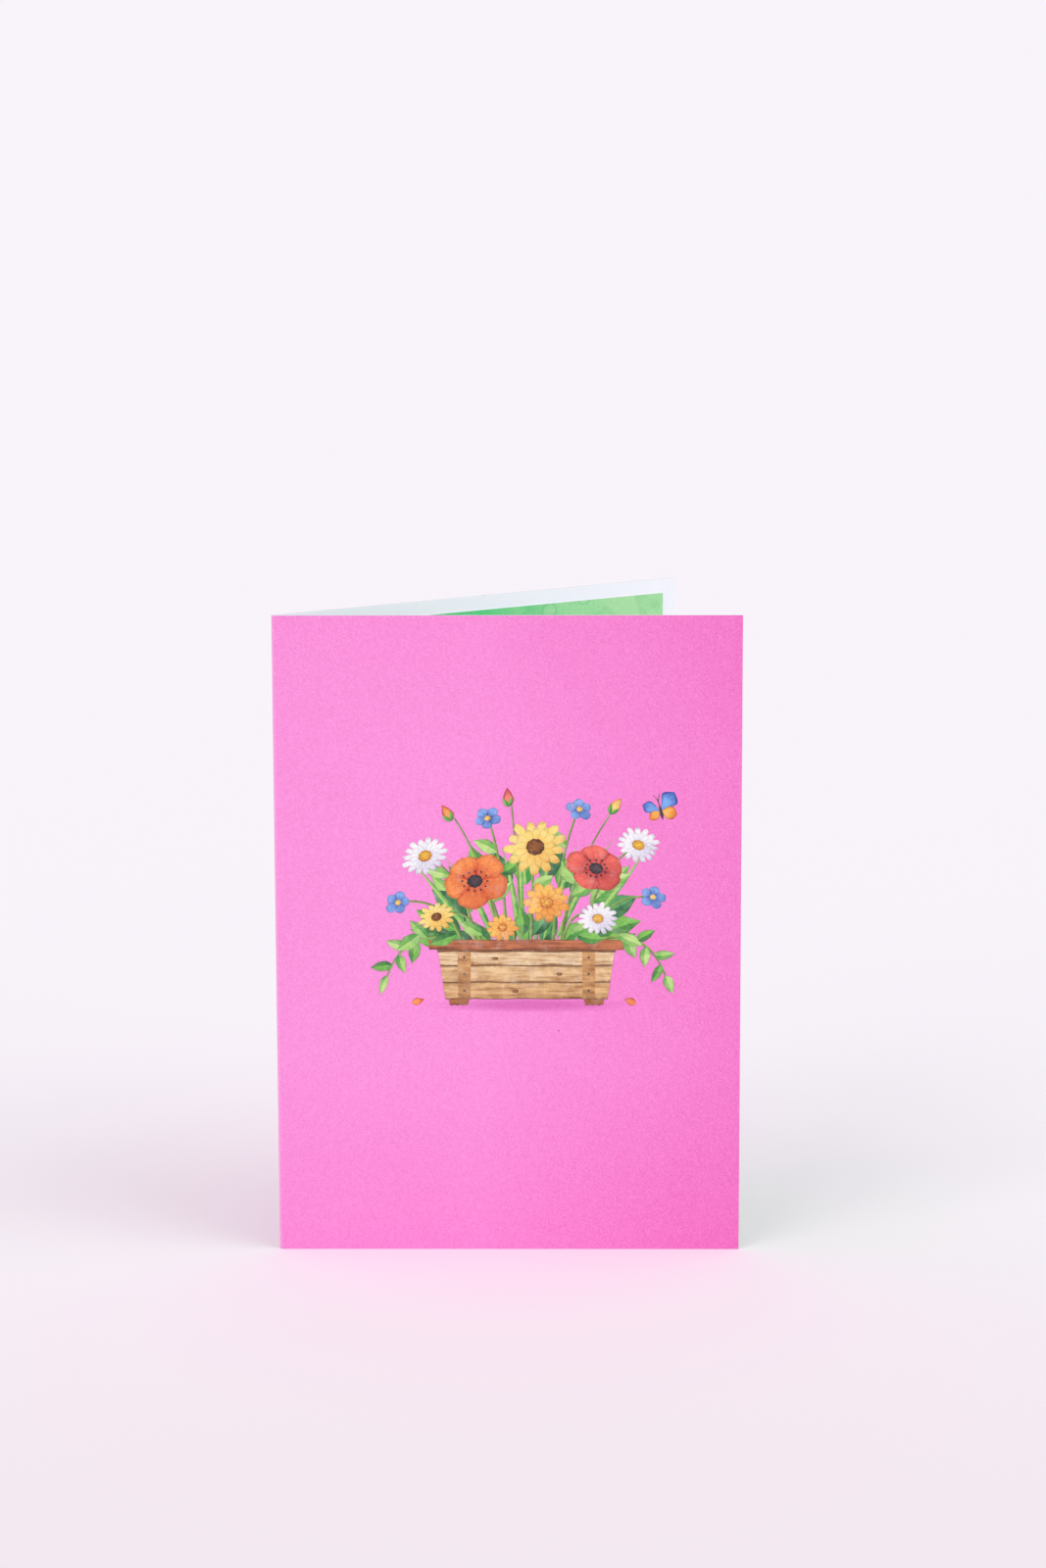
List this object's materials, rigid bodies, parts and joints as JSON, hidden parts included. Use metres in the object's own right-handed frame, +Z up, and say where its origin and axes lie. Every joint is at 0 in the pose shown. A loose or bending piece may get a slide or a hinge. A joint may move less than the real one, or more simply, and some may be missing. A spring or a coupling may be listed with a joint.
{
  "type": "greeting card",
  "caption": "Folded greeting card standing open at an angle: pink printed cover with white inside, and a green paper panel glued inside the back.",
  "frame": {"origin": "on the standing surface, under the middle of the card's box", "axes": "+Z up along the fold, the front panel faces -Y, and the fold is at -X"},
  "size_m": [0.127, 0.0644, 0.1778],
  "materials": {
    "pink_card": "matte printed card, white inside",
    "green_paper": "matte printed paper"
  },
  "bodies": {
    "root": {"folded_cover": "pink_card", "inside_panel": "green_paper"}
  },
  "joints": []
}
